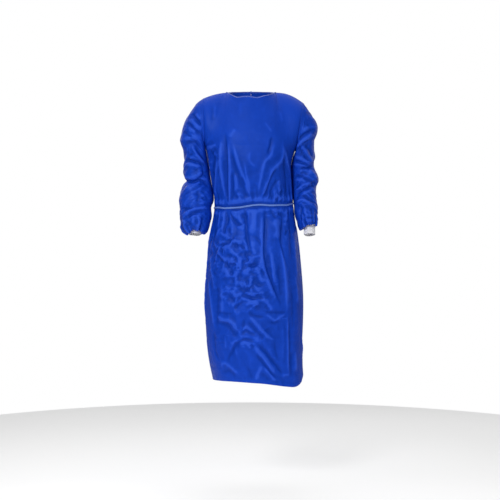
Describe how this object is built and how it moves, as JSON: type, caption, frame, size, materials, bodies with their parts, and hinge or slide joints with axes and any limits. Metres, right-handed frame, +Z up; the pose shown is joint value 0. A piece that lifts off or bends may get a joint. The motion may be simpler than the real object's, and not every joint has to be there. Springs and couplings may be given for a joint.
{
  "type": "isolation gown",
  "caption": "Long-sleeved open-back isolation gown in its worn shape, with knitted cuffs, bound neck and a waist belt tied behind.",
  "frame": {"origin": "middle of the shoulder line, in the neck opening, where the wearer carries the gown", "axes": "+Z up, the front faces -Y, the wearer's left is +X"},
  "size_m": [0.5288, 0.3046, 1.122],
  "materials": {
    "blue_nonwoven": "soft satin",
    "white_rib_knit": "matte",
    "pale_blue_tape": "matte"
  },
  "bodies": {
    "root": {"front_panel": "blue_nonwoven", "back_panel_left": "blue_nonwoven", "back_panel_right": "blue_nonwoven", "sleeve_left": "blue_nonwoven", "sleeve_right": "blue_nonwoven", "cuff_left": "white_rib_knit", "cuff_right": "white_rib_knit", "neck_binding": "pale_blue_tape", "waist_belt": "pale_blue_tape", "belt_tie_knot": "pale_blue_tape", "belt_tie_end_left": "pale_blue_tape", "belt_tie_end_right": "pale_blue_tape", "neck_tie_knot": "pale_blue_tape", "neck_tie_end_left": "pale_blue_tape", "neck_tie_end_right": "pale_blue_tape"}
  },
  "joints": []
}
